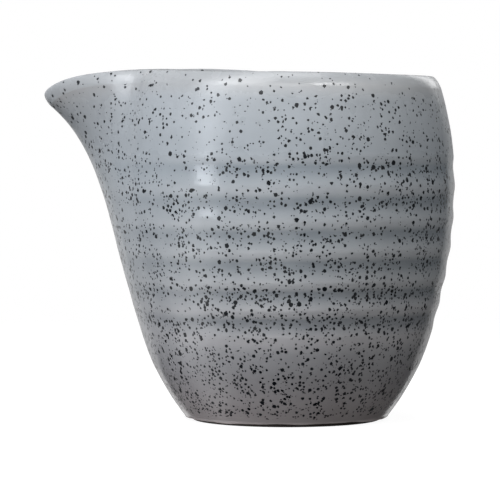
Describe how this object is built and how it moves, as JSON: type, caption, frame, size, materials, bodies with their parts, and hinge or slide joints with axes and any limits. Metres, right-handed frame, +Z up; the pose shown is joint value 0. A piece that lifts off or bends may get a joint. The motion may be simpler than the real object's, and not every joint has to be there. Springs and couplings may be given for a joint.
{
  "type": "milk jug",
  "caption": "Small handle-less stoneware pitcher: round thrown body with throwing rings, pulled pouring spout, turned foot, speckled satin glaze.",
  "frame": {"origin": "middle of the resting face of the foot ring, on the body's axis", "axes": "+Z up along the body's axis, spout towards -X, +Y to the back as the jug is seen from its side"},
  "size_m": [0.1051, 0.0862, 0.0912],
  "materials": {
    "clay": "bare fired dark stoneware, matt",
    "bare_foot": "bare dark stoneware, matt, turned",
    "outer_glaze": "satin blue-grey glaze with dark iron speckles",
    "liner_glaze": "satin blue-grey liner glaze with sparse speckles"
  },
  "bodies": {
    "root": {"clay_wall": "clay", "spout": "clay", "clay_floor": "clay", "foot_ring": "bare_foot", "outer_glaze": "outer_glaze", "spout_glaze": "outer_glaze", "inner_glaze": "liner_glaze", "spout_lining": "liner_glaze"}
  },
  "joints": []
}
